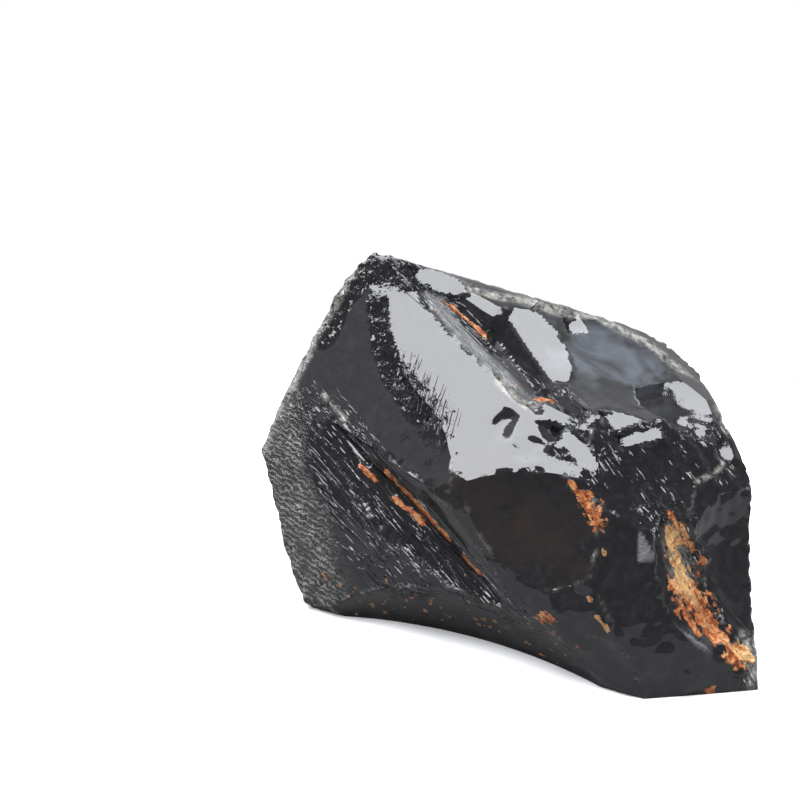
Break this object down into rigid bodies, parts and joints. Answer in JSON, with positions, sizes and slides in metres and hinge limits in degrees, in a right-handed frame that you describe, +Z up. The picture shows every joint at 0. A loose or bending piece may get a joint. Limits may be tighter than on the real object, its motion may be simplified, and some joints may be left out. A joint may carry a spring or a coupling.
{
  "type": "obsidian chunk",
  "caption": "Palm-sized chunk of raw black obsidian with glassy flake scars, sharp ridges and rusty seams, resting on a flat base.",
  "frame": {"origin": "middle of the bounding box on the ground plane", "axes": "+X along the longest side, to the right of someone facing the mirror face; +Y to the back; +Z up"},
  "size_m": [0.0896, 0.0732, 0.0636],
  "materials": {
    "obsidian": "opaque black volcanic glass, glossy on fresh flake scars"
  },
  "bodies": {
    "root": {"obsidian_chunk": "obsidian"}
  },
  "joints": []
}
